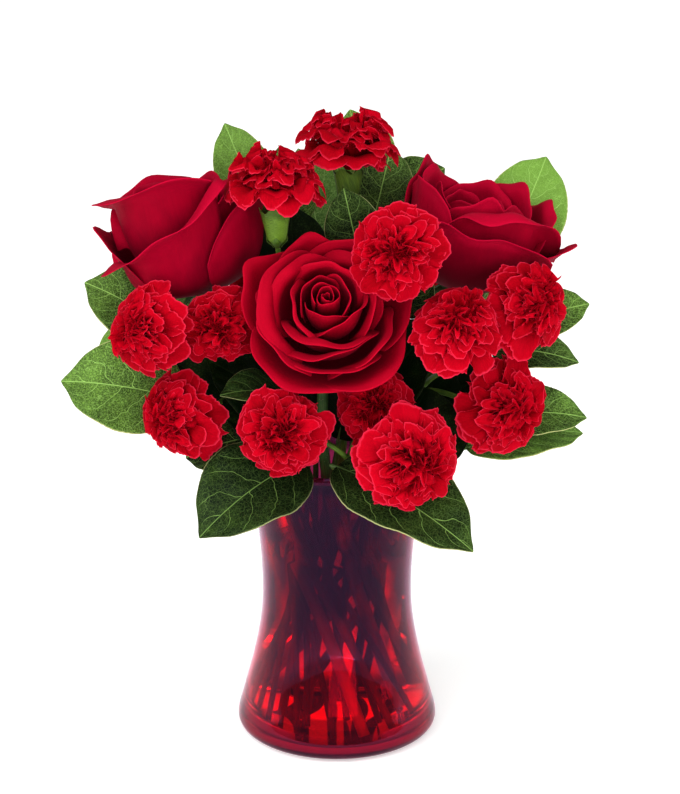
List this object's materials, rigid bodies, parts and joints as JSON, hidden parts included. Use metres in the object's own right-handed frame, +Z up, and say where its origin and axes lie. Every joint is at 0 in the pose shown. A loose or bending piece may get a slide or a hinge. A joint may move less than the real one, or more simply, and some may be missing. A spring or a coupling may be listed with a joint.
{
  "type": "vase bouquet",
  "caption": "Bouquet of red roses, spray carnations and broad glossy leaves standing in water in a flared red glass vase.",
  "frame": {"origin": "centre of the vase's flat foot", "axes": "+Z up along the vase's axis, -Y towards the front of the bouquet, +X to its right as seen from the front"},
  "size_m": [0.3079, 0.2317, 0.3672],
  "materials": {
    "vase_glass": "polished",
    "water": "polished",
    "rose_petal": "matte",
    "rose_stem": "satin",
    "carnation_petal": "matte",
    "carnation_stem": "satin",
    "leaf": "satin"
  },
  "bodies": {
    "root": {"vase": "vase_glass", "water": "water", "rose_left": "rose_petal", "rose_middle": "rose_petal", "rose_right": "rose_petal", "rose_stem_left": "rose_stem", "rose_stem_middle": "rose_stem", "rose_stem_right": "rose_stem", "carnation_top": "carnation_petal", "carnation_top_left": "carnation_petal", "carnation_top_right": "carnation_petal", "carnation_left": "carnation_petal", "carnation_left_inner": "carnation_petal", "carnation_right_inner": "carnation_petal", "carnation_right": "carnation_petal", "carnation_low_left": "carnation_petal", "carnation_low_middle_left": "carnation_petal", "carnation_low_middle": "carnation_petal", "carnation_low_middle_right": "carnation_petal", "carnation_low_right": "carnation_petal", "carnation_back_left": "carnation_petal", "carnation_back_right": "carnation_petal", "carnation_spray_left": "carnation_stem", "carnation_spray_top": "carnation_stem", "carnation_spray_right": "carnation_stem", "carnation_spray_front": "carnation_stem", "carnation_spray_back": "carnation_stem", "leafy_stem_low_left": "leaf", "leafy_stem_front_left": "leaf", "leafy_stem_front_right": "leaf", "leafy_stem_low_right": "leaf", "leafy_stem_left": "leaf", "leafy_stem_top_left": "leaf", "leafy_stem_top": "leaf", "leafy_stem_middle": "leaf", "leafy_stem_top_right": "leaf", "leafy_stem_right": "leaf", "leafy_stem_low_right_side": "leaf", "leafy_stem_back_left": "leaf", "leafy_stem_back_right": "leaf", "leafy_stem_back": "leaf"}
  },
  "joints": []
}
